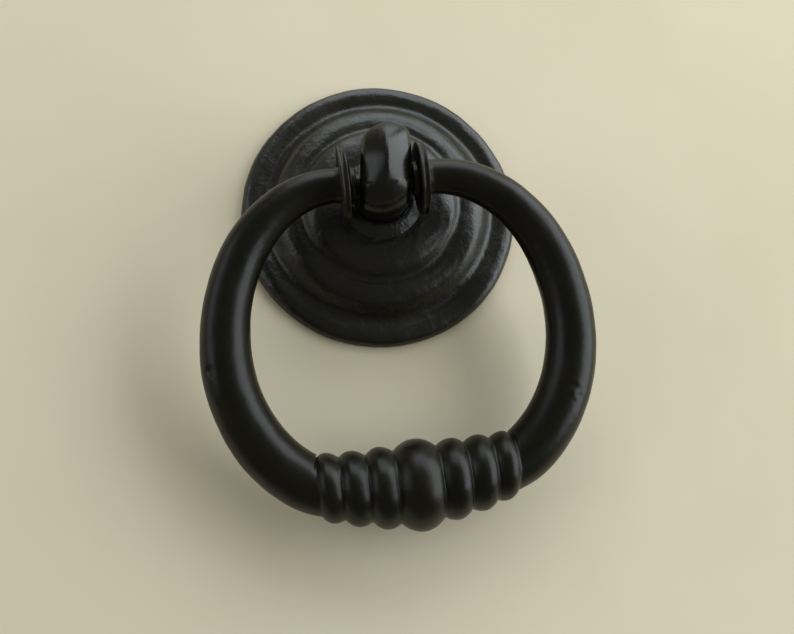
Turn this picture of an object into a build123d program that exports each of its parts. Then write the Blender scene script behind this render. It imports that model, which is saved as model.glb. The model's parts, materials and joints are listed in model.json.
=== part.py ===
from build123d import *
from math import asin, atan2, cos, pi, sin, sqrt
import os

# Ring pull in door-knocker form. Millimetres.
# Origin: centre of the plate's back, on the door's face.
# +Z points out of the door, +Y up the door, and X lies along the pivot pin.

# Driving dimensions
plate_dia = 45.0
pivot_height = 13.8
ring_reach = 44.9  # pivot to the middle of the centre bead
ring_half_width = 25.55  # ring's centreline at its widest
ring_widest_at = 23.2  # how far below the pivot it is widest

# Ring: the arms follow two quarter ellipses that share a centre
arm_rise = 0.1  # the arms leave the discs this far above the pivot
arm_start_x = 5.6
arm_end_inset = 0.4  # the arm ends this far inside the last bead
ellipse_x = 7.4
ellipse_lower = 21.9
arm_r_top = 2.55
arm_r_bottom = 4.1
arm_swell = 1.5
arm_stations = 12
disc_r = 5.4
disc_inner_x = 5.05
disc_thickness = 1.2
hub_r = 2.5
hub_inner_x = 3.95  # the hubs keep the head centred between the discs

# Beads, from the middle outwards: widths, crests, and the grooves outside each
bead_row_r = 68.0  # the row of beads bows down on this radius
bead_widths = [6.35, 4.1, 3.85, 3.35]
bead_dias = [13.4, 11.85, 10.95, 10.05]
groove_dias = [10.6, 9.85, 9.2, 8.3]
core_r = 4.0

# Post: a head that leans up the door, on a flatted shank
head_width = 7.6
head_r = 5.4  # belly, about the pivot
head_tip_y = 8.2
head_tip_z = 17.1
flank_low = 0.43  # the flank's control points, as shares of the head's radius and length
flank_high = (0.61, 0.82)
foot_r = 4.6
foot_top = 9.8
foot_taper = 12  # degrees
shank_r = 4.0  # M8 fine
shank_flats = 6.6
screw_hole_r = 1.65  # tapped M4
screw_hole_depth = 10.0

# Pivot pin
pin_r = 1.5
pin_play = 0.04
pin_end_x = 5.8  # the pin's ends sit blind inside the discs

# Plate: its mouldings as (radius, height), from the rim inwards
rim_r = plate_dia / 2
rim_edge_z = 0.6
rim_bead = [(22.1, 1.4), (21.3, 1.9), (20.3, 2.05), (19.3, 1.85)]
cove = [(18.7, 1.8), (18.1, 2.1), (17.5, 2.7)]
lower_step = [(16.9, 3.5), (16.2, 4.25), (15.4, 4.75), (14.5, 5.05), (13.6, 5.15), (12.9, 5.1)]
upper_step = [(12.4, 5.35), (11.8, 5.95), (11.1, 6.45), (10.3, 6.75), (9.3, 6.95), (8.2, 7.05)]
boss_r = 6.4
boss_base_z = 7.1
boss_top = 8.0
boss_edge = 0.5
post_play = 0.1

# Plate's hollow back
land_r = 17.0
hollow_r = 15.2
hollow_z = 3.5
web_r = 10.2
web_z = 5.0
web_slope_r = 11.6

# Nut and lock washer on the shank
washer_r = 6.2
washer_thickness = 1.0
washer_split = 0.9
nut_flats = 12.0
nut_height = 2.6
nut_chamfer = 0.4
thread_play = 0.03

# Derived sizes
bead_r = bead_dias[0] / 2
rest_angle = asin((pivot_height - bead_r) / ring_reach)
ellipse_a = ring_half_width - ellipse_x
ellipse_b = ring_widest_at + arm_rise
bead_ends = [bead_widths[0] / 2 + sum(bead_widths[1 : n + 1]) for n in range(len(bead_widths))]
row_half = bead_ends[-1]
ring_plane = Plane(
    origin=(0, 0, pivot_height),
    x_dir=(1, 0, 0),
    z_dir=(0, -sin(rest_angle), cos(rest_angle)),
)

head_lean = atan2(head_tip_y, head_tip_z - pivot_height)
head_length = (head_tip_z - pivot_height) / cos(head_lean)
pivot = (0, 0, pivot_height)
head_side = Plane(origin=pivot, x_dir=(0, cos(head_lean), -sin(head_lean)), z_dir=(1, 0, 0))
washer_top = web_z
nut_top = washer_top - washer_thickness

os.makedirs("parts", exist_ok=True)


def in_ring(across, down):
    """A point of the ring's own plane, from the pivot's middle."""
    return ring_plane.from_local_coords((across, -down, 0))


def ring_direction(across, down):
    """A direction in the ring's plane."""
    return in_ring(across, down) - in_ring(0, 0)


def arm_point(turn):
    """The arm's centreline at a turn in radians, 0 at the top and pi/2 where the ring is widest."""
    drop = ellipse_b if turn < pi / 2 else ellipse_lower
    return ellipse_x + ellipse_a * sin(turn), ring_widest_at - drop * cos(turn)


def arm_direction(turn):
    """The way the arm's centreline runs at a turn."""
    drop = ellipse_b if turn < pi / 2 else ellipse_lower
    return ellipse_a * cos(turn), drop * sin(turn)


def row_point(across):
    """A place on the beads' bowed row, by how far across the ring it is."""
    return across, ring_reach - bead_row_r + sqrt(bead_row_r**2 - across**2)


arm_end = pi - asin((row_half - ellipse_x) / ellipse_a)

# Ring, one casting
with BuildPart() as ring:
    # right arm, from inside its disc to just inside the last bead
    with BuildSketch(Plane(origin=in_ring(arm_start_x, -arm_rise), z_dir=ring_direction(1, 0))):
        Circle(arm_r_top)
    for n in range(arm_stations):
        share = n / arm_stations
        turn = arm_end * share
        place = Plane(origin=in_ring(*arm_point(turn)), z_dir=ring_direction(*arm_direction(turn)))
        with BuildSketch(place):
            Circle(arm_r_bottom - (arm_r_bottom - arm_r_top) * (1 - share) ** arm_swell)
    joint = in_ring(*row_point(row_half - arm_end_inset))
    with BuildSketch(Plane(origin=joint, z_dir=ring_direction(-1, 0))):
        Circle(arm_r_bottom)
    loft()

    # right disc beside the head
    with BuildSketch(Plane.YZ.offset(disc_inner_x)):
        with Locations((0, pivot_height)):
            Circle(disc_r)
    extrude(amount=disc_thickness)

    # hub between the disc and the head
    with BuildSketch(Plane.YZ.offset(hub_inner_x)):
        with Locations((0, pivot_height)):
            Circle(hub_r)
    extrude(amount=disc_inner_x - hub_inner_x)

    # core that the beads sit on, bowed like their row
    with BuildLine() as row:
        ThreePointArc(
            in_ring(*row_point(0)),
            in_ring(*row_point(row_half / 2)),
            in_ring(*row_point(row_half + 0.6)),
        )
    with BuildSketch(Plane(origin=in_ring(*row_point(0)), z_dir=ring_direction(1, 0))):
        Circle(core_r)
    sweep(path=row.line)

    # beads right of the middle one
    for n in range(1, len(bead_widths)):
        middle = bead_ends[n] - bead_widths[n] / 2
        place = Plane(
            origin=in_ring(*row_point(middle)),
            x_dir=(1, 0, 0),
            z_dir=ring_plane.z_dir,
        )
        with BuildSketch(place):
            with BuildLine():
                half = bead_widths[n] / 2
                arc = ThreePointArc(
                    (-half, groove_dias[n - 1] / 2),
                    (0, bead_dias[n] / 2),
                    (half, groove_dias[n] / 2),
                )
                Polyline(arc @ 1, (half, 0), (-half, 0), arc @ 0)
            make_face()
        revolve(axis=Axis(place.origin, place.x_dir))
    mirror(about=Plane.YZ)

    # centre bead
    place = Plane(origin=in_ring(0, ring_reach), x_dir=(1, 0, 0), z_dir=ring_plane.z_dir)
    with BuildSketch(place):
        with BuildLine():
            half = bead_widths[0] / 2
            arc = ThreePointArc((-half, groove_dias[0] / 2), (0, bead_r), (half, groove_dias[0] / 2))
            Polyline(arc @ 1, (half, 0), (-half, 0), arc @ 0)
        make_face()
    revolve(axis=Axis(place.origin, place.x_dir))

    # blind seats for the pin's ends
    for side in (1, -1):
        with BuildSketch(Plane.YZ.offset(side * hub_inner_x)):
            with Locations((0, pivot_height)):
                Circle(pin_r)
        extrude(amount=side * (pin_end_x - hub_inner_x), mode=Mode.SUBTRACT)

# Pivot pin
with BuildPart() as pivot_pin:
    with BuildSketch(Plane.YZ):
        with Locations((0, pivot_height)):
            Circle(pin_r)
    extrude(amount=pin_end_x, both=True)

# Post, one casting
with BuildPart() as post:
    # head: a pointed ogive turned about its length, with a round belly about the pivot
    with BuildSketch(head_side):
        with BuildLine():
            belly = CenterArc((0, 0), head_r, -90, 90)
            flank = Bezier(
                belly @ 1,
                (head_r, flank_low * head_length),
                (flank_high[0] * head_r, flank_high[1] * head_length),
                (0, head_length),
            )
            Line(flank @ 1, belly @ 0)
        make_face()
    revolve(axis=Axis(pivot, head_side.y_dir))

    # flat sides between the ring's discs
    with BuildSketch(head_side):
        Rectangle(4 * head_r, 4 * head_r)
    extrude(amount=head_width / 2, both=True, mode=Mode.INTERSECT)

    # foot on the plate's boss
    with BuildSketch(Plane.XY.offset(boss_top)):
        Circle(foot_r)
    extrude(amount=foot_top - boss_top, taper=foot_taper)

    # shank with two flats, through the plate
    with BuildSketch():
        Circle(shank_r)
        Rectangle(shank_flats, 2 * shank_r, mode=Mode.INTERSECT)
    extrude(amount=boss_top)

    # tapped hole for the fixing screw
    with BuildSketch():
        Circle(screw_hole_r)
    extrude(amount=screw_hole_depth, mode=Mode.SUBTRACT)

    # cross bore for the pivot pin
    with BuildSketch(Plane.YZ):
        with Locations((0, pivot_height)):
            Circle(pin_r + pin_play)
    extrude(amount=head_width, both=True, mode=Mode.SUBTRACT)

# Back plate, a hollow-backed rosette
with BuildPart() as back_plate:
    with BuildSketch(Plane.XZ):
        with BuildLine():
            face = Spline(
                (rim_r, rim_edge_z),
                *rim_bead,
                *cove,
                *lower_step,
                *upper_step,
                (boss_r, boss_base_z),
            )
            Polyline(
                face @ 1,
                (boss_r, boss_top - boss_edge),
                (boss_r - boss_edge, boss_top),
                (0, boss_top),
                (0, web_z),
                (web_r, web_z),
                (web_slope_r, hollow_z),
                (hollow_r, hollow_z),
                (land_r, 0),
                (rim_r, 0),
                face @ 0,
            )
        make_face()
    revolve(axis=Axis.Z)

    # flatted hole for the post
    with BuildSketch():
        Circle(shank_r + post_play)
        Rectangle(shank_flats + 2 * post_play, 3 * shank_r, mode=Mode.INTERSECT)
    extrude(amount=2 * boss_top, mode=Mode.SUBTRACT)

# Lock washer, split at one side
with BuildPart() as spring_washer:
    with BuildSketch(Plane.XY.offset(washer_top - washer_thickness)):
        Circle(washer_r)
        Circle(shank_r + post_play, mode=Mode.SUBTRACT)
        with Locations((washer_r, 0)):
            Rectangle(washer_r, washer_split, mode=Mode.SUBTRACT)
    extrude(amount=washer_thickness)

# Thin nut
with BuildPart() as retaining_nut:
    with BuildSketch(Plane.XY.offset(nut_top - nut_height)):
        RegularPolygon(nut_flats / 2, 6, major_radius=False)
        Circle(shank_r + thread_play, mode=Mode.SUBTRACT)
    extrude(amount=nut_height)
    corners = retaining_nut.edges().filter_by(GeomType.LINE)
    chamfer(corners.group_by(Axis.Z)[0] + corners.group_by(Axis.Z)[-1], nut_chamfer)

for node, name in (
    (back_plate, "back_plate"),
    (post, "post"),
    (ring, "ring"),
    (pivot_pin, "pivot_pin"),
    (spring_washer, "spring_washer"),
    (retaining_nut, "retaining_nut"),
):
    node.part.label = name
    export_step(node.part, f"parts/{name}.step")
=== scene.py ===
import json
from math import asin, atan2, cos, pi, radians, sin, tan

import bmesh
import bpy
import numpy as np
from mathutils import Matrix, Vector, noise


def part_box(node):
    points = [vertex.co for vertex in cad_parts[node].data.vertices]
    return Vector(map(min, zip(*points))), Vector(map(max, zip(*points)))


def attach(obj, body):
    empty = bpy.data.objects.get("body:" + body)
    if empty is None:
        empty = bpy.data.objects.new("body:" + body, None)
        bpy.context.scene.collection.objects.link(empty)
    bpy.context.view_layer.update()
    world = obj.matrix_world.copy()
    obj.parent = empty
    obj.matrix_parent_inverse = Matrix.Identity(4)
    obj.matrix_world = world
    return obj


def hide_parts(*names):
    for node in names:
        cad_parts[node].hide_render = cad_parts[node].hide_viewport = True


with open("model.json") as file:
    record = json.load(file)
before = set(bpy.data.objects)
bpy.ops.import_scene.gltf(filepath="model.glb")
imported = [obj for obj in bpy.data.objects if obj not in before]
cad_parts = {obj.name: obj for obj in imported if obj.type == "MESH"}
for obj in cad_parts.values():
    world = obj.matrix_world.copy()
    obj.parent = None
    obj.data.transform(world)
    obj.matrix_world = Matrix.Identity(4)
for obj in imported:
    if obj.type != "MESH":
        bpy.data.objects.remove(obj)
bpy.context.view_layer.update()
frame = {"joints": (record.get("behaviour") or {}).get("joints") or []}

# Sizes are in millimetres, in the CAD's frame. Meshes are written in metres.
MM = 0.001

# ---------- Driving sizes ----------
pivot_z = frame["joints"][0]["pos_m"][2] / MM
rim_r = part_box("back_plate")[1].x / MM
boss_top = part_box("back_plate")[1].z / MM
disc_outer_x = 6.25
disc_inner_x = 5.05
disc_r = 5.4

ring_reach = 44.9
ring_half_width = 25.55
ring_widest_at = 23.2
arm_rise = 0.1
ellipse_x = 7.4
ellipse_lower = 21.9
arm_r_top = 2.55
arm_r_bottom = 4.1
arm_swell = 1.5

bead_row_r = 68.0
bead_widths = [6.35, 4.1, 3.85, 3.35]
bead_dias = [13.4, 11.85, 10.95, 10.05]
groove_dias = [10.6, 9.85, 9.2, 8.3]
groove_extra = 0.22  # the grooves start this much deeper than the CAD's, before they are softened
groove_soft = 1.7  # how far the beads are smoothed along their row, in steps of 0.1 mm

head_half_width = 3.75
head_twist = 0.13  # the casting's head is turned a little on its post: sideways shift per mm up the door
head_centre_y = -1.2
head_r = 5.4
arch_reach = 1.25  # how far down from the tip the pointed arch opens out
head_tip_y = 8.2
head_tip_z = 17.1
foot_r = 4.6
foot_top = 9.8
shank_r = 4.0
shank_flats = 3.3  # half the distance across them
shank_core_r = 3.45
hole_r = 1.65
hole_depth = 10.0
pin_r = 1.5
pin_end_x = 5.8
hub_r = 2.5
hub_inner_x = 4.2
bore_r = 1.54

rim_edge = (rim_r, 0.6)
mouldings = [
    (22.1, 1.4), (21.3, 1.9), (20.3, 2.05), (19.3, 1.85), (18.7, 1.8), (18.1, 2.1), (17.5, 2.7),
    (16.9, 3.5), (16.2, 4.25), (15.4, 4.75), (14.5, 5.05), (13.6, 5.15), (12.9, 5.1),
    (12.4, 5.35), (11.8, 5.95), (11.1, 6.45), (10.3, 6.75), (9.3, 6.95), (8.2, 7.05),
]
boss_r = 6.4
boss_base_z = 7.1

web_z = 5.0
web_r = 10.2
web_slope_r = 11.6
hollow_z = 3.5
hollow_r = 15.2
land_r = 17.0
plate_hole_r = 4.1
plate_hole_flats = 3.4  # half the distance across them

washer_r = 6.2
washer_thickness = 1.0
washer_split = 0.9
nut_flats = 12.0
nut_height = 2.6
nut_crest_r = 3.62
outer_pitch = 1.0
inner_pitch = 0.7

# ---------- Derived sizes ----------
bead_r = bead_dias[0] / 2
rest_angle = asin((pivot_z - bead_r) / ring_reach)
ellipse_a = ring_half_width - ellipse_x
ellipse_b = ring_widest_at + arm_rise
bead_edges = np.concatenate([[0], bead_widths[0] / 2 + np.cumsum([0] + bead_widths[1:])])
row_half = bead_edges[-1]
pivot = np.array([0, 0, pivot_z])
head_lean = atan2(head_tip_y, head_tip_z - pivot_z)
head_length = (head_tip_z - pivot_z) / cos(head_lean)
head_axis = np.array([0, sin(head_lean), cos(head_lean)])
head_tip = np.array([head_twist * (head_tip_y - head_centre_y), head_tip_y, head_tip_z])
head_front = np.array([0, -cos(head_lean), sin(head_lean)])
ring_down = np.array([0, -cos(rest_angle), -sin(rest_angle)])
ring_normal = np.array([0, -sin(rest_angle), cos(rest_angle)])


# ---------- Curves ----------
def spaced(points, gap):
    """The same open line with points no further apart than the gap."""
    out = [points[0]]
    for a, b in zip(points[:-1], points[1:]):
        steps = max(1, int(np.ceil(np.linalg.norm(np.subtract(b, a)) / gap)))
        out += [np.add(a, np.subtract(b, a) * k / steps) for k in range(1, steps + 1)]
    return np.array(out)


def natural_curve(points, gap):
    """A smooth curve through the points, as points about the gap apart."""
    points = np.array(points, float)
    lengths = np.linalg.norm(np.diff(points, axis=0), axis=1)
    knots = np.concatenate([[0], np.cumsum(lengths)])
    count = len(points)
    system = np.eye(count)
    right = np.zeros_like(points)
    for n in range(1, count - 1):
        before, after = lengths[n - 1], lengths[n]
        system[n, n - 1 : n + 2] = before, 2 * (before + after), after
        slope_after = (points[n + 1] - points[n]) / after
        slope_before = (points[n] - points[n - 1]) / before
        right[n] = 6 * (slope_after - slope_before)
    bend = np.linalg.solve(system, right)
    at = np.linspace(0, knots[-1], int(knots[-1] / gap) + 2)
    n = np.clip(np.searchsorted(knots, at, side="right") - 1, 0, count - 2)
    span = lengths[n][:, None]
    b = (at - knots[n])[:, None] / span
    a = 1 - b
    curve = a * points[n] + b * points[n + 1]
    return curve + ((a**3 - a) * bend[n] + (b**3 - b) * bend[n + 1]) * span**2 / 6


def rounded(points, radius, steps=5):
    """A line with each inner corner turned into a small curve."""
    out = [np.array(points[0], float)]
    for before, corner, after in zip(points[:-2], points[1:-1], points[2:]):
        corner = np.array(corner, float)
        to_before = np.subtract(before, corner)
        to_after = np.subtract(after, corner)
        cut_a = min(radius, np.linalg.norm(to_before) / 2)
        cut_b = min(radius, np.linalg.norm(to_after) / 2)
        start = corner + to_before / np.linalg.norm(to_before) * cut_a
        end = corner + to_after / np.linalg.norm(to_after) * cut_b
        for k in range(steps + 1):
            t = k / steps
            out.append((1 - t) ** 2 * start + 2 * t * (1 - t) * corner + t**2 * end)
    out.append(np.array(points[-1], float))
    return np.array(out)


def ease(x, low, high):
    """0 below low, 1 above high, and smooth between."""
    t = np.clip((x - low) / (high - low), 0, 1)
    return t * t * (3 - 2 * t)


def soft_max(a, b, width):
    """The larger of two values, with the crossing rounded over a width."""
    blend = np.clip(0.5 + (a - b) / (2 * width), 0, 1)
    return b + (a - b) * blend + width * blend * (1 - blend)


def soft_min(a, b, width):
    return -soft_max(-a, -b, width)


# ---------- Meshes ----------
def loops_mesh(name, loops, join_ends=False, start=None, end=None):
    """A closed skin over a stack of closed loops, with a point at each open end."""
    loops = np.asarray(loops, float)
    count, turns, _ = loops.shape
    index = np.arange(count * turns).reshape(count, turns)
    beside = np.roll(index, -1, axis=1)
    low = index if join_ends else index[:-1]
    low_beside = beside if join_ends else beside[:-1]
    high = np.roll(index, -1, axis=0) if join_ends else index[1:]
    high_beside = np.roll(beside, -1, axis=0) if join_ends else beside[1:]
    faces = np.stack([low, low_beside, high_beside, high], -1).reshape(-1, 4).tolist()
    points = loops.reshape(-1, 3).tolist()
    for tip, loop in ((start, 0), (end, -1)):
        if tip is not None:
            points.append(list(tip))
            faces += [[a, b, len(points) - 1] for a, b in zip(index[loop], beside[loop])]
    mesh = bpy.data.meshes.new(name)
    mesh.from_pydata((np.array(points) * MM).tolist(), [], [[int(i) for i in f] for f in faces])
    work = bmesh.new()
    work.from_mesh(mesh)
    bmesh.ops.recalc_face_normals(work, faces=work.faces)
    work.to_mesh(mesh)
    work.free()
    mesh.polygons.foreach_set("use_smooth", [True] * len(mesh.polygons))
    piece = bpy.data.objects.new(name, mesh)
    bpy.context.scene.collection.objects.link(piece)
    return piece


def turned(profile, turns, axis="Z"):
    """Loops of a profile of (radius, height) pairs, turned about an axis."""
    angle = np.arange(turns) * 2 * pi / turns
    radius = np.array(profile)[:, 0][:, None]
    height = np.repeat(np.array(profile)[:, 1][:, None], turns, axis=1)
    a = radius * np.cos(angle)
    b = radius * np.sin(angle)
    return np.stack([a, b, height] if axis == "Z" else [height, a, b], -1)


def vertex_array(mesh, field, width=3):
    values = np.zeros(len(mesh.vertices) * width)
    mesh.vertices.foreach_get(field, values)
    return values.reshape(-1, width)


def roughen(piece, layers, seed, strength=None, warp=None):
    """Moves the skin along its normals by layers of noise, each a size and a depth in mm."""
    mesh = piece.data
    points = vertex_array(mesh, "co")
    normals = vertex_array(mesh, "normal")
    offset = Vector((seed * 17.3, seed * 5.1, seed * 9.7))
    shift = np.zeros(len(points))
    places = points / MM if warp is None else warp(points / MM)
    for size, depth in layers:
        shift += [depth * noise.noise(Vector(p) / size + offset) for p in places]
    if strength is not None:
        shift *= strength(points / MM)
    points += normals * shift[:, None] * MM
    mesh.vertices.foreach_set("co", points.ravel())
    mesh.update()


def dent(piece, centre, radius, depth):
    """Presses one small round hollow into the skin, or raises it where the depth is below 0."""
    mesh = piece.data
    points = vertex_array(mesh, "co")
    normals = vertex_array(mesh, "normal")
    away = np.linalg.norm(points / MM - centre, axis=1)
    points -= normals * (depth * (1 - ease(away, 0.3 * radius, radius)))[:, None] * MM
    mesh.vertices.foreach_set("co", points.ravel())
    mesh.update()


def mark_wear_and_sheen(piece, low, high, passes=3):
    """Stores how convex the skin is, as a vertex value from 0 on flats to 1 on edges; the paint makes these
    edges lighter and browner, partly as light rubbing and partly as a painted reflection of the floor.
    """
    mesh = piece.data
    points = vertex_array(mesh, "co") / MM
    normals = vertex_array(mesh, "normal")
    ends = np.zeros(len(mesh.edges) * 2, int)
    mesh.edges.foreach_get("vertices", ends)
    a, b = ends.reshape(-1, 2).T
    along = points[b] - points[a]
    bend = ((normals[b] - normals[a]) * along).sum(1) / np.maximum((along**2).sum(1), 1e-9)
    joins = np.bincount(a, minlength=len(points)) + np.bincount(b, minlength=len(points))
    curve = np.bincount(a, bend, len(points)) + np.bincount(b, bend, len(points))
    curve /= np.maximum(joins, 1)
    for _ in range(passes):
        total = np.bincount(a, curve[b], len(points)) + np.bincount(b, curve[a], len(points))
        curve = 0.5 * curve + 0.5 * total / np.maximum(joins, 1)
    layer = mesh.attributes.new("wear_and_sheen", "FLOAT", "POINT")
    layer.data.foreach_set("value", ease(curve, low, high))


def cut(piece, cutter):
    """Takes the cutter's volume out of the piece, and the cutter away."""
    change = piece.modifiers.new("cut", "BOOLEAN")
    change.object = cutter
    change.operation = "DIFFERENCE"
    change.solver = "EXACT"
    shaped = piece.evaluated_get(bpy.context.evaluated_depsgraph_get())
    mesh = bpy.data.meshes.new_from_object(shaped)
    piece.modifiers.clear()
    piece.data = mesh
    bpy.data.objects.remove(cutter)


# ---------- Materials ----------
def paint_nodes(name, base, roughness):
    """A new material with its Principled shader's plain values set."""
    material = bpy.data.materials.new(name)
    material.use_nodes = True
    nodes = material.node_tree.nodes
    shader = nodes["Principled BSDF"]
    shader.inputs["Base Color"].default_value = (*base, 1)
    shader.inputs["Roughness"].default_value = roughness
    return material, nodes, material.node_tree.links, shader


def noise_node(nodes, links, place, size, detail, rough=0.55):
    """Noise whose lumps are about the size, in mm."""
    texture = nodes.new("ShaderNodeTexNoise")
    texture.inputs["Scale"].default_value = 1 / (size * MM)
    texture.inputs["Detail"].default_value = detail
    texture.inputs["Roughness"].default_value = rough
    links.new(place, texture.inputs["Vector"])
    return texture.outputs["Fac"]


def remap(nodes, links, value, low, high, out_low, out_high):
    node = nodes.new("ShaderNodeMapRange")
    node.inputs["From Min"].default_value = low
    node.inputs["From Max"].default_value = high
    node.inputs["To Min"].default_value = out_low
    node.inputs["To Max"].default_value = out_high
    links.new(value, node.inputs["Value"])
    return node.outputs["Result"]


def maths(nodes, links, operation, a, b):
    node = nodes.new("ShaderNodeMath")
    node.operation = operation
    for socket, value in zip(node.inputs, (a, b)):
        if isinstance(value, (int, float)):
            socket.default_value = value
        else:
            links.new(value, socket)
    return node.outputs["Value"]


def mixed(nodes, links, share, a, b):
    """Colour a where the share is 0, colour b where it is 1."""
    node = nodes.new("ShaderNodeMix")
    node.data_type = "RGBA"
    links.new(share, node.inputs["Factor"])
    for socket, colour in ((node.inputs[6], a), (node.inputs[7], b)):
        if isinstance(colour, tuple):
            socket.default_value = (*colour, 1)
        else:
            links.new(colour, socket)
    return node.outputs[2]


def bumped(nodes, links, height, depth, below=None):
    """A normal from a height of 0 to 1 that stands for a depth in mm."""
    node = nodes.new("ShaderNodeBump")
    node.inputs["Strength"].default_value = 1.0
    node.inputs["Distance"].default_value = depth * MM
    links.new(height, node.inputs["Height"])
    if below is not None:
        links.new(below, node.inputs["Normal"])
    return node.outputs["Normal"]


def cast_paint(name, grain_size, grain_depth, peel_depth, roughness, specks, shine):
    """Satin black paint on a casting: olive-brown tint, edges painted lighter and browner (light rubbing and
    a painted reflection of the floor), casting grain, and dust.
    """
    dark = (0.0032, 0.0029, 0.0009)
    warm = (0.0054, 0.0045, 0.0012)
    # lighter, browner edge colour: light rubbing, and a painted reflection of the floor along the edges
    rubbed_and_sheen = (0.016, 0.0130, 0.0065)
    pale_dust = (0.16, 0.15, 0.13)
    dust_gap = 2.3
    material, nodes, links, shader = paint_nodes(name, dark, roughness)
    shader.inputs["Specular IOR Level"].default_value = shine
    place = nodes.new("ShaderNodeTexCoord").outputs["Object"]
    patches = noise_node(nodes, links, place, 7.0, 3)
    fine = noise_node(nodes, links, place, grain_size, 2)
    peel = noise_node(nodes, links, place, 1.6, 2)
    wear_and_sheen = nodes.new("ShaderNodeAttribute")
    wear_and_sheen.attribute_name = "wear_and_sheen"
    broken = remap(nodes, links, fine, 0.35, 0.65, 0.2, 1.0)
    # where the skin is convex the edges are painted lighter: partly light rubbing, partly painted floor
    # reflection
    rub_and_sheen = maths(nodes, links, "MULTIPLY", wear_and_sheen.outputs["Fac"], broken)
    dust_cells = nodes.new("ShaderNodeTexVoronoi")
    dust_cells.inputs["Scale"].default_value = 1 / (dust_gap * MM)
    links.new(place, dust_cells.inputs["Vector"])
    near = maths(nodes, links, "LESS_THAN", dust_cells.outputs["Distance"], 0.045)
    chosen = nodes.new("ShaderNodeSeparateColor")
    links.new(dust_cells.outputs["Color"], chosen.inputs["Color"])
    few = maths(nodes, links, "LESS_THAN", chosen.outputs["Red"], specks)
    dust = maths(nodes, links, "MULTIPLY", near, few)
    colour = mixed(nodes, links, remap(nodes, links, patches, 0.35, 0.65, 0.0, 1.0), dark, warm)
    # convex edges take the lighter, browner colour: light rubbing and painted floor reflection
    colour = mixed(nodes, links, rub_and_sheen, colour, rubbed_and_sheen)
    colour = mixed(nodes, links, dust, colour, pale_dust)
    links.new(colour, shader.inputs["Base Color"])
    gloss = remap(nodes, links, patches, 0.3, 0.7, roughness - 0.035, roughness + 0.035)
    gloss = maths(nodes, links, "ADD", gloss, remap(nodes, links, fine, 0.3, 0.7, -0.03, 0.03))
    gloss = maths(nodes, links, "ADD", gloss, maths(nodes, links, "MULTIPLY", dust, 0.4))
    links.new(gloss, shader.inputs["Roughness"])
    normal = bumped(nodes, links, peel, peel_depth)
    normal = bumped(nodes, links, fine, grain_depth, normal)
    links.new(normal, shader.inputs["Normal"])
    return material


def plated_steel(name, colour, roughness):
    """Zinc-plated steel with fine grit and dull blotches."""
    material, nodes, links, shader = paint_nodes(name, colour, roughness)
    shader.inputs["Metallic"].default_value = 1.0
    place = nodes.new("ShaderNodeTexCoord").outputs["Object"]
    blotch = noise_node(nodes, links, place, 2.5, 4)
    grit = noise_node(nodes, links, place, 0.18, 2)
    shade = tuple(c * 0.55 for c in colour)
    tint = mixed(nodes, links, remap(nodes, links, blotch, 0.35, 0.7, 0.0, 1.0), colour, shade)
    links.new(tint, shader.inputs["Base Color"])
    dull = remap(nodes, links, blotch, 0.3, 0.7, roughness - 0.08, roughness + 0.12)
    links.new(dull, shader.inputs["Roughness"])
    links.new(bumped(nodes, links, grit, 0.006), shader.inputs["Normal"])
    return material


def finish_piece(piece, body, node, material):
    piece.data.materials.clear()
    piece.data.materials.append(material)
    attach(piece, body)
    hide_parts(node)


# ---------- Back plate ----------
def make_plate():
    rough_boss = np.array([2.4, -5.2, 7.6])
    face = natural_curve([rim_edge] + mouldings + [(boss_r + 0.15, boss_base_z)], 0.2)
    boss_line = [
        (boss_r + 0.15, boss_base_z), (boss_r - 0.1, boss_base_z + 0.12), (boss_r - 1.5, boss_top),
        (plate_hole_r, boss_top), (plate_hole_r, web_z),
    ]
    back_line = [
        (plate_hole_r, web_z), (web_r, web_z), (web_slope_r, hollow_z), (hollow_r, hollow_z),
        (land_r, 0), (rim_r, 0), rim_edge,
    ]
    boss = rounded(boss_line, 0.45)
    back = rounded(back_line, 0.4)
    profile = np.concatenate([face, spaced(boss[1:], 0.25), spaced(back[1:-1], 0.5)])
    loops = turned(profile, 480)
    angle = np.arctan2(loops[..., 1], loops[..., 0])
    radius = np.hypot(loops[..., 0], loops[..., 1])
    flat = plate_hole_flats / np.maximum(np.abs(np.cos(angle)), 1e-6)
    wall = radius < plate_hole_r + 0.01
    fitted = np.where(wall, np.minimum(radius, flat), radius)
    loops[..., 0] = fitted * np.cos(angle)
    loops[..., 1] = fitted * np.sin(angle)
    piece = loops_mesh("rosette_plate", loops, join_ends=True)

    def away_from_fits(points):
        out = np.hypot(points[:, 0], points[:, 1])
        return ease(out, 5.2, 6.2) * ease(points[:, 2], 0.05, 0.6)

    def round_the_plate(points):
        """Places that stretch the noise along the mouldings and squeeze it across them."""
        out = np.hypot(points[:, 0], points[:, 1])
        x = 6 * points[:, 0] / np.maximum(out, 1)
        y = 6 * points[:, 1] / np.maximum(out, 1)
        return np.stack([x, y, 2.2 * out], -1)

    roughen(piece, [(7.0, 0.12), (2.6, 0.05), (1.1, 0.035)], 1, away_from_fits)
    roughen(piece, [(0.45, 0.05)], 6, lambda p: 1 - ease(np.linalg.norm(p - rough_boss, axis=1), 1.0, 3.4))
    roughen(piece, [(1.7, 0.05)], 4, away_from_fits, round_the_plate)
    mark_wear_and_sheen(piece, 0.5, 2.2)
    paint = cast_paint("plate_paint", 0.42, 0.06, 0.035, 0.36, 0.10, 0.5)
    finish_piece(piece, "base", "back_plate", paint)


# ---------- Ring ----------
def arm_point(turn):
    """Arm's centreline, 0 at the top and pi/2 where the ring is widest."""
    drop = np.where(turn < pi / 2, ellipse_b, ellipse_lower)
    return ellipse_x + ellipse_a * np.sin(turn), ring_widest_at - drop * np.cos(turn)


def row_point(across):
    """A place on the beads' bowed row, by how far across the ring it is."""
    return across, ring_reach - bead_row_r + np.sqrt(bead_row_r**2 - across**2)


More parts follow.
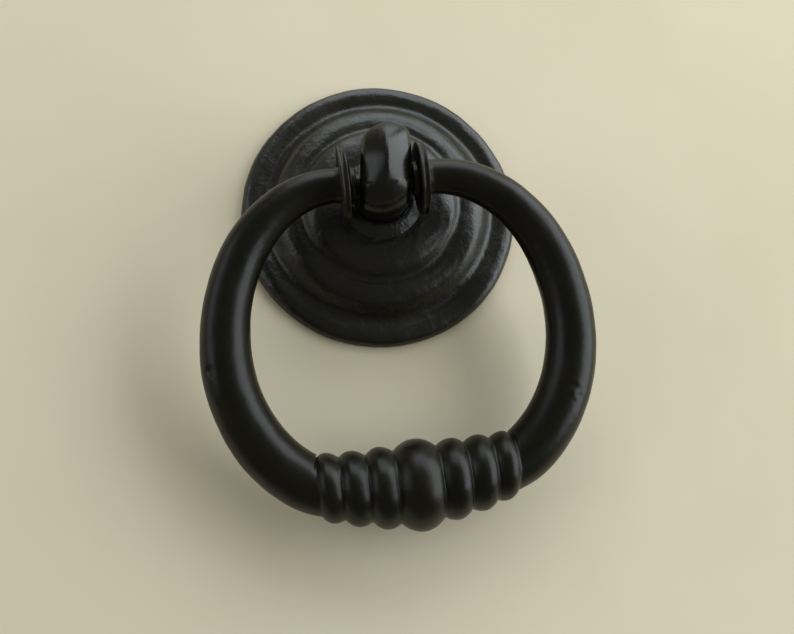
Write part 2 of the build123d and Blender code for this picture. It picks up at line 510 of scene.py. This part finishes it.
def bead_radius(across):
    """Radius of the beaded row at evenly spaced places from the middle outwards."""
    radius = np.zeros_like(across)
    for n, dia in enumerate(bead_dias):
        inside = (across >= bead_edges[n]) & (across <= bead_edges[n + 1])
        middle = 0 if n == 0 else (bead_edges[n] + bead_edges[n + 1]) / 2
        t = (across - middle) / (bead_widths[n] / 2)
        inner = groove_dias[max(n - 1, 0)] / 2
        outer = groove_dias[n] / 2
        groove = np.where(t < 0, inner, outer) - groove_extra
        bulge = (1 - np.clip(np.abs(t), 0, 1) ** 2) ** 0.85
        radius = np.where(inside, groove + (dia / 2 - groove) * bulge, radius)
    soft = np.exp(-0.5 * (np.arange(-6, 7) / groove_soft) ** 2)
    padded = np.pad(radius, 6, mode="reflect")
    padded[-6:] = radius[-1]
    return np.convolve(padded, soft / soft.sum(), mode="valid")


def make_ring():
    pockmark = np.array([-27.7, -25.3, 12.8])
    rough_patch = np.array([23.9, -34.0, 12.3])
    along = np.arange(0, row_half, 0.1)
    arm_end = pi - asin((row_half - ellipse_x) / ellipse_a)
    turns = np.linspace(arm_end, 0, 210)
    share = turns / arm_end
    arm_radius = arm_r_bottom - (arm_r_bottom - arm_r_top) * (1 - share) ** arm_swell
    disc = rounded(
        [(ellipse_x - 0.15, arm_r_top), (disc_outer_x + 0.05, arm_r_top + 0.25), (disc_outer_x, disc_r),
         (disc_outer_x - 0.28, disc_r), ((disc_outer_x + disc_inner_x) / 2, disc_r - 0.16),
         (disc_inner_x + 0.28, disc_r), (disc_inner_x, disc_r), (disc_inner_x, hub_r), (hub_inner_x, hub_r),
         (hub_inner_x, pin_r), (pin_end_x, pin_r), (pin_end_x, 0.3)], 0.28)
    disc = spaced(disc, 0.35)
    centre_x = np.concatenate([row_point(along)[0], arm_point(turns)[0], disc[:, 0]])
    centre_y = np.concatenate([row_point(along)[1], arm_point(turns)[1], np.full(len(disc), -arm_rise)])
    # the line drops from the arm's start to the pivot over the disc's first few loops
    first = len(along) + len(turns)
    centre_y[first:] = -arm_rise * (1 - np.minimum(np.arange(len(disc)) / 11, 1))
    radius = np.concatenate([bead_radius(along), arm_radius, disc[:, 1]])

    # each loop's plane is square to the line, and turns smoothly where the arm leaves the beads
    row_way = np.tile((1.0, 0.0), (len(along), 1))
    drop = np.where(turns < pi / 2, ellipse_b, ellipse_lower)
    arm_way = -np.stack([ellipse_a * np.cos(turns), drop * np.sin(turns)], -1)
    arm_way /= np.linalg.norm(arm_way, axis=1)[:, None]
    turned_away = ease(np.arange(len(turns)), -3, 12)[:, None]
    arm_way = (1 - turned_away) * row_way[-1] + turned_away * arm_way
    way = np.concatenate([row_way, arm_way])
    way /= np.linalg.norm(way, axis=1)[:, None]
    way = np.concatenate([way, np.tile((-1.0, 0.0), (len(disc), 1))])

    sides = 112
    angle = np.arange(sides) * 2 * pi / sides
    out_x, out_y = way[:, 1], -way[:, 0]
    across = centre_x[:, None] + radius[:, None] * out_x[:, None] * np.cos(angle)
    down = centre_y[:, None] + radius[:, None] * out_y[:, None] * np.cos(angle)
    up = radius[:, None] * np.sin(angle)
    half = across[..., None] * np.array([1, 0, 0])
    half = half + down[..., None] * ring_down + up[..., None] * ring_normal
    half += pivot
    mirrored = half[:0:-1] * np.array([-1, 1, 1])
    # the left disc came out of the mould a little larger and further out than the right one
    from_pin = np.hypot(mirrored[..., 1], mirrored[..., 2] - pivot_z)
    grown = ((mirrored[..., 0] > -disc_outer_x - 0.1) & (abs(from_pin - disc_r) < 2.2))[..., None]
    mirrored = np.where(grown, (mirrored - pivot) * (1, 1.07, 1.07) + pivot - (0.35, 0, 0), mirrored)
    loops = np.concatenate([mirrored, half])
    piece = loops_mesh("beaded_ring", loops, start=(-pin_end_x, 0, pivot_z), end=(pin_end_x, 0, pivot_z))
    roughen(piece, [(9.0, 0.13), (3.2, 0.045), (1.1, 0.012)], 2)
    roughen(piece, [(0.9, 0.14)], 5, lambda p: 1 - ease(np.linalg.norm(p - rough_patch, axis=1), 0.6, 2.3))
    dent(piece, pockmark, 1.0, 0.22)
    mark_wear_and_sheen(piece, 0.5, 2.0)
    paint = cast_paint("ring_paint", 0.5, 0.012, 0.03, 0.34, 0.05, 0.25)
    finish_piece(piece, "ring", "ring", paint)


# ---------- Post ----------
def head_gap(points):
    """How far points are outside the head, roughly in mm, and less than 0 inside it."""
    local = points - pivot
    x = local[..., 0] - head_twist * (local[..., 1] - head_centre_y)
    front = local @ head_front
    t = local @ head_axis
    flank_r = (head_length**2 + head_r**2) / (2 * head_r)
    belly = np.sqrt(np.maximum(head_r**2 - t**2, 0))
    flank = np.sqrt(np.maximum(flank_r**2 - t**2, 0)) - (flank_r - head_r)
    reach = np.where(t < 0, belly, flank)
    # the front is crowned low down, and turns into two facets with a ridge between them towards the tip
    crown = x**2 / (2 * head_r)
    facet = np.sqrt(x**2 + 0.008) - 0.09
    gable = ease(t, -2.5, 3.0)
    drop = crown * (1 - 0.25 * gable) + 0.42 * gable * facet
    over_front = front + drop - reach
    over_back = -front + crown - reach
    arch = head_half_width * np.tanh(np.maximum(head_length - t, 0) / arch_reach)
    over_side = np.abs(x) - arch
    below = np.sqrt(x**2 + front**2 + t**2) - head_r
    body = np.where(t < 0, below, soft_max(over_front, over_back, 0.12))
    return soft_max(body, over_side, 0.12 + 0.6 * ease(head_length - t, 0.2, 3.0))


def post_gap(points):
    """The same for the head and its foot together."""
    z = points[..., 2]
    taper = foot_r - 0.3 - 0.7 * ease(z, boss_top, foot_top)
    foot = soft_max(np.hypot(points[..., 0], points[..., 1]) - taper, z - foot_top, 0.35)
    return soft_min(head_gap(points), foot, 1.6)


def cast_loops(centres, normals, sides, gap):
    """Where rays in each loop's plane leave the shape, one loop for each centre."""
    angle = np.arange(sides) * 2 * pi / sides
    side = np.array([1.0, 0, 0])
    fore = np.cross(normals, side)
    rays = np.cos(angle)[None, :, None] * side + np.sin(angle)[None, :, None] * fore[:, None, :]
    inside = np.zeros(rays.shape[:2])
    outside = np.full(rays.shape[:2], 8.0)
    for _ in range(34):
        middle = (inside + outside) / 2
        out = gap(centres[:, None, :] + rays * middle[..., None]) > 0
        outside = np.where(out, middle, outside)
        inside = np.where(out, inside, middle)
    return centres[:, None, :] + rays * inside[..., None]


def screw_loops(base_r, crest_r, heights, pitch, sides, flats=None):
    """Loops of a thread, each a turn round the Z axis at one height."""
    angle = np.arange(sides) * 2 * pi / sides
    phase = (np.array(heights)[:, None] / pitch - angle[None, :] / (2 * pi)) % 1
    ridge = 1 - np.abs(2 * phase - 1)
    radius = base_r + (crest_r - base_r) * ease(ridge, 0.12, 0.88)
    if flats:
        radius = np.minimum(radius, flats / np.maximum(np.abs(np.cos(angle)), 1e-6)[None, :])
    z = np.repeat(np.array(heights)[:, None], sides, axis=1)
    return np.stack([radius * np.cos(angle), radius * np.sin(angle), z], -1)


def make_post():
    sides = 144
    tip = hole_depth + hole_r / tan(radians(59))
    hole_heights = np.arange(hole_depth, 0.45, -0.1)
    hole = screw_loops(hole_r, hole_r + 0.3, hole_heights, inner_pitch, sides)
    mouth = turned([(2.0, 0.3), (2.3, 0.0), (3.2, 0.0)], sides)
    shank_heights = np.arange(0.35, web_z, 0.09)
    shank = screw_loops(shank_core_r, shank_r, shank_heights, outer_pitch, sides, shank_flats)
    plain = screw_loops(shank_r, shank_r, [web_z + 0.1, 6.5, boss_top - 0.02], 1.0, sides, shank_flats)
    # the loops lie level on the foot, swing over in the belly, and end square to the head's length
    low = np.linspace(boss_top, 10.0, 18)
    centres = np.stack([0 * low, 0 * low, low], -1)
    normals = np.tile((0.0, 0.0, 1.0), (len(low), 1))
    swing_r = 5.5
    swing = np.linspace(0, head_lean, 72)[1:]
    mid_centres = np.stack([0 * swing, swing_r * (1 - np.cos(swing)), 10.0 + swing_r * np.sin(swing)], -1)
    mid_normals = np.stack([0 * swing, np.sin(swing), np.cos(swing)], -1)
    reached = (mid_centres[-1] - pivot) @ head_axis
    spread = np.sin(np.linspace(0, pi / 2, 50)[1:-1])
    up_centres = pivot + (reached + (head_length - reached) * spread)[:, None] * head_axis
    up_centres[:, 0] = head_twist * (up_centres[:, 1] - head_centre_y) * ease(up_centres[:, 1], 2, 7)
    up_normals = np.tile(head_axis, (len(spread), 1))
    skin = cast_loops(np.concatenate([centres, mid_centres, up_centres]),
                      np.concatenate([normals, mid_normals, up_normals]), sides, post_gap)
    loops = np.concatenate([hole, mouth, shank, plain, skin])
    piece = loops_mesh("pointed_post", loops, start=(0, 0, tip), end=head_tip)
    roughen(piece, [(6.0, 0.07), (2.2, 0.02)], 3, lambda p: ease(p[:, 2], boss_top, boss_top + 1))
    bore = loops_mesh("bore", turned([(bore_r, -5), (bore_r, 5)], 64, "X"), start=(-5, 0, 0), end=(5, 0, 0))
    for v in bore.data.vertices:
        v.co.z += pivot_z * MM
    cut(piece, bore)
    mark_wear_and_sheen(piece, 0.5, 2.0)
    piece.data.set_sharp_from_angle(angle=radians(50))
    paint = cast_paint("post_paint", 0.5, 0.008, 0.016, 0.25, 0.05, 0.36)
    finish_piece(piece, "base", "post", paint)


# ---------- Pin, washer and nut ----------
def make_pin():
    half = pin_end_x - 0.02
    profile = rounded([(0.25, -half), (pin_r - 0.01, -half), (pin_r - 0.01, half), (0.25, half)], 0.2)
    loops = turned(spaced(profile, 0.3), 72, "X")
    piece = loops_mesh("pivot_pin_steel", loops, start=(-half, 0, 0), end=(half, 0, 0))
    for v in piece.data.vertices:
        v.co.z += pivot_z * MM
    mark_wear_and_sheen(piece, 0.9, 3.0)
    oxide = cast_paint("pin_oxide", 0.25, 0.006, 0.01, 0.3, 0.0, 0.3)
    finish_piece(piece, "ring", "pivot_pin", oxide)


def make_washer():
    top = web_z - 0.03
    bottom = top - washer_thickness + 0.09
    inner = shank_r + 0.15
    section = rounded([(inner, (top + bottom) / 2), (inner, bottom), (washer_r, bottom), (washer_r, top),
                       (inner, top), (inner, (top + bottom) / 2)], 0.16)[:-1]
    section = spaced(section, 0.3)
    gap = washer_split / washer_r
    turns = np.linspace(gap / 2, 2 * pi - gap / 2, 200)
    lift = 0.05 * (turns / pi - 1)
    x = section[None, :, 0] * np.cos(turns)[:, None]
    y = section[None, :, 0] * np.sin(turns)[:, None]
    z = section[None, :, 1] + lift[:, None] - 0.02
    loops = np.stack([x, y, z], -1)
    ends = [loop.mean(axis=0) for loop in (loops[0], loops[-1])]
    piece = loops_mesh("split_washer", loops, start=ends[0], end=ends[1])
    piece.data.set_sharp_from_angle(angle=radians(50))
    zinc = plated_steel("washer_zinc", (0.42, 0.41, 0.38), 0.36)
    finish_piece(piece, "base", "spring_washer", zinc)


def make_nut():
    sides = 192
    angle = np.arange(sides) * 2 * pi / sides
    top = web_z - washer_thickness
    bottom = top - nut_height
    apothem = nut_flats / 2
    hexagon = apothem / np.cos((angle + pi / 6) % (pi / 3) - pi / 6)
    heights = np.concatenate([np.linspace(0, 0.7, 14), np.linspace(0.8, nut_height - 0.8, 6),
                              nut_height - np.linspace(0.7, 0, 14)])
    from_face = np.minimum(heights, nut_height - heights)[:, None]
    radius = np.minimum(hexagon[None, :], apothem - 0.12 + from_face / tan(radians(30)))
    z = np.repeat((bottom + heights)[:, None], sides, axis=1)
    outside = np.stack([radius * np.cos(angle), radius * np.sin(angle), z], -1)
    screw_heights = np.arange(top - 0.35, bottom + 0.3, -0.09)
    screw = screw_loops(shank_r + 0.12, nut_crest_r, screw_heights, outer_pitch, sides)
    top_mouth = turned([(shank_r + 0.3, top), (shank_r + 0.12, top - 0.2)], sides)
    low_mouth = turned([(shank_r + 0.12, bottom + 0.2), (shank_r + 0.3, bottom)], sides)
    loops = np.concatenate([outside, top_mouth, screw, low_mouth])
    piece = loops_mesh("thin_nut", loops, join_ends=True)
    piece.data.set_sharp_from_angle(angle=radians(28))
    zinc = plated_steel("nut_zinc", (0.5, 0.48, 0.42), 0.34)
    finish_piece(piece, "base", "retaining_nut", zinc)


# ---------- Studio ----------
def add_floor():
    size = 1.2
    pale = (0.77, 0.68, 0.51)
    shaded = (0.725, 0.635, 0.47)
    mesh = bpy.data.meshes.new("floor")
    corners = [(-size, -size, 0), (size, -size, 0), (size, size, 0), (-size, size, 0)]
    mesh.from_pydata(corners, [], [(0, 1, 2, 3)])
    floor = bpy.data.objects.new("floor", mesh)
    bpy.context.scene.collection.objects.link(floor)
    material, nodes, links, shader = paint_nodes("floor_paint", pale, 0.8)
    shader.inputs["Specular IOR Level"].default_value = 0.15
    place = nodes.new("ShaderNodeTexCoord").outputs["Object"]
    cloud = noise_node(nodes, links, place, 45.0, 4)
    tint = mixed(nodes, links, remap(nodes, links, cloud, 0.3, 0.7, 0.0, 1.0), pale, shaded)
    links.new(tint, shader.inputs["Base Color"])
    mesh.materials.append(material)


def add_window(name, azimuth, elevation, width, height, brightness, colour):
    """A soft rectangular light that faces the object. Its place and its size are angles seen from there."""
    away = 0.8
    direction = Vector((cos(elevation) * cos(azimuth), cos(elevation) * sin(azimuth), sin(elevation)))
    data = bpy.data.lights.new(name, "AREA")
    data.shape = "RECTANGLE"
    data.size = 2 * away * tan(width / 2)
    data.size_y = 2 * away * tan(height / 2)
    data.energy = brightness * pi * data.size * data.size_y
    data.color = colour
    lamp = bpy.data.objects.new(name, data)
    lamp.location = direction * away
    lamp.rotation_euler = direction.to_track_quat("Z", "Y").to_euler()
    bpy.context.scene.collection.objects.link(lamp)


def add_world(colour, strength):
    world = bpy.data.worlds.new("studio")
    world.use_nodes = True
    background = world.node_tree.nodes["Background"]
    background.inputs["Color"].default_value = (*colour, 1)
    background.inputs["Strength"].default_value = strength
    bpy.context.scene.world = world


def add_camera(place, tilt, yaw, roll, focal_share):
    """A camera that looks down on the plate. Place in mm, focal length as a share of the picture's width."""
    look = Vector((sin(tilt) * sin(yaw), sin(tilt) * cos(yaw), -cos(tilt)))
    level = Vector((cos(yaw), -sin(yaw), 0))
    over = level.cross(look)
    right = cos(roll) * level + sin(roll) * over
    up = -sin(roll) * level + cos(roll) * over
    data = bpy.data.cameras.new("camera")
    data.sensor_fit = "HORIZONTAL"
    data.sensor_width = 36
    data.lens = focal_share * data.sensor_width
    data.clip_start = 0.005
    camera = bpy.data.objects.new("camera", data)
    matrix = Matrix((right, up, -look)).transposed().to_4x4()
    matrix.translation = Vector(place) * MM
    camera.matrix_world = matrix
    bpy.context.scene.collection.objects.link(camera)
    bpy.context.scene.camera = camera


make_plate()
make_ring()
make_post()
make_pin()
make_washer()
make_nut()

add_floor()
bpy.context.scene.view_settings.view_transform = "Standard"
add_world((1.0, 0.97, 0.85), 0.19)
daylight = (0.89, 0.96, 1.0)
add_window("window", radians(10), radians(24), radians(78), radians(46), 4.1, daylight)
add_window("back_window", radians(80), radians(24), radians(48), radians(44), 2.8, daylight)
add_window("side_window", radians(165), radians(27), radians(44), radians(30), 1.4, daylight)
add_camera((-12.1, -44.4, 122.6), radians(13.6), radians(25.7), radians(18.8), 782 / 794)
